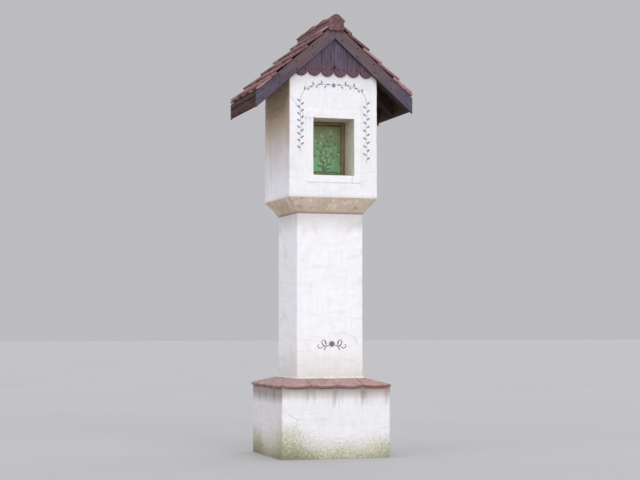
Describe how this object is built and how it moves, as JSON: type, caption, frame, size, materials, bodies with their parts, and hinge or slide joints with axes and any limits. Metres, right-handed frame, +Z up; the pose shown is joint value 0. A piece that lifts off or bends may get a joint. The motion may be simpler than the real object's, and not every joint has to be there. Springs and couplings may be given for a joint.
{
  "type": "wayside shrine",
  "caption": "Rendered square masonry pillar on a tile-coped base, with a picture niche in its corbelled head and a small gabled roof of round-ended clay tiles.",
  "frame": {"origin": "middle of the underside of the base, on the ground", "axes": "+Z up; the niche looks along -Y; +X to the right of a person facing the niche"},
  "size_m": [1.15, 0.8312, 3.041],
  "materials": {
    "coping_clay": "matt, fired clay",
    "eave_timber": "faded brown stain",
    "frame_wood": "satin varnish",
    "lime_render": "matt, trowelled and limewashed",
    "mortar": "matt, rough",
    "old_softwood": "rough sawn, dark with age",
    "painted_boards": "faded dark stain",
    "picture_paint": "satin paint on board",
    "roof_clay": "matt, weathered fired clay",
    "stained_render": "matt, weathered"
  },
  "bodies": {
    "root": {"barge_board_back_left": "painted_boards", "barge_board_back_right": "painted_boards", "barge_board_front_left": "painted_boards", "barge_board_front_right": "painted_boards", "base_block": "lime_render", "coping_bed": "mortar", "coping_tiles_back": "coping_clay", "coping_tiles_front": "coping_clay", "coping_tiles_left": "coping_clay", "coping_tiles_right": "coping_clay", "corbel": "stained_render", "eave_board_left": "eave_timber", "eave_board_right": "eave_timber", "eave_course_left": "roof_clay", "eave_course_right": "roof_clay", "gable_boards_back": "painted_boards", "gable_boards_front": "painted_boards", "head": "lime_render", "niche_surround": "lime_render", "picture_frame": "frame_wood", "picture_panel": "picture_paint", "rafter_back_left": "old_softwood", "rafter_back_right": "old_softwood", "rafter_front_left": "old_softwood", "rafter_front_right": "old_softwood", "rafter_middle_left": "old_softwood", "rafter_middle_right": "old_softwood", "ridge_mortar": "mortar", "ridge_tile_1": "roof_clay", "ridge_tile_2": "roof_clay", "ridge_tile_3": "roof_clay", "roof_deck_left": "old_softwood", "roof_deck_right": "old_softwood", "shaft": "lime_render", "tile_course_1_left": "roof_clay", "tile_course_1_right": "roof_clay", "tile_course_2_left": "roof_clay", "tile_course_2_right": "roof_clay", "tile_course_3_left": "roof_clay", "tile_course_3_right": "roof_clay", "tile_course_4_left": "roof_clay", "tile_course_4_right": "roof_clay", "tile_course_5_left": "roof_clay", "tile_course_5_right": "roof_clay"}
  },
  "joints": []
}
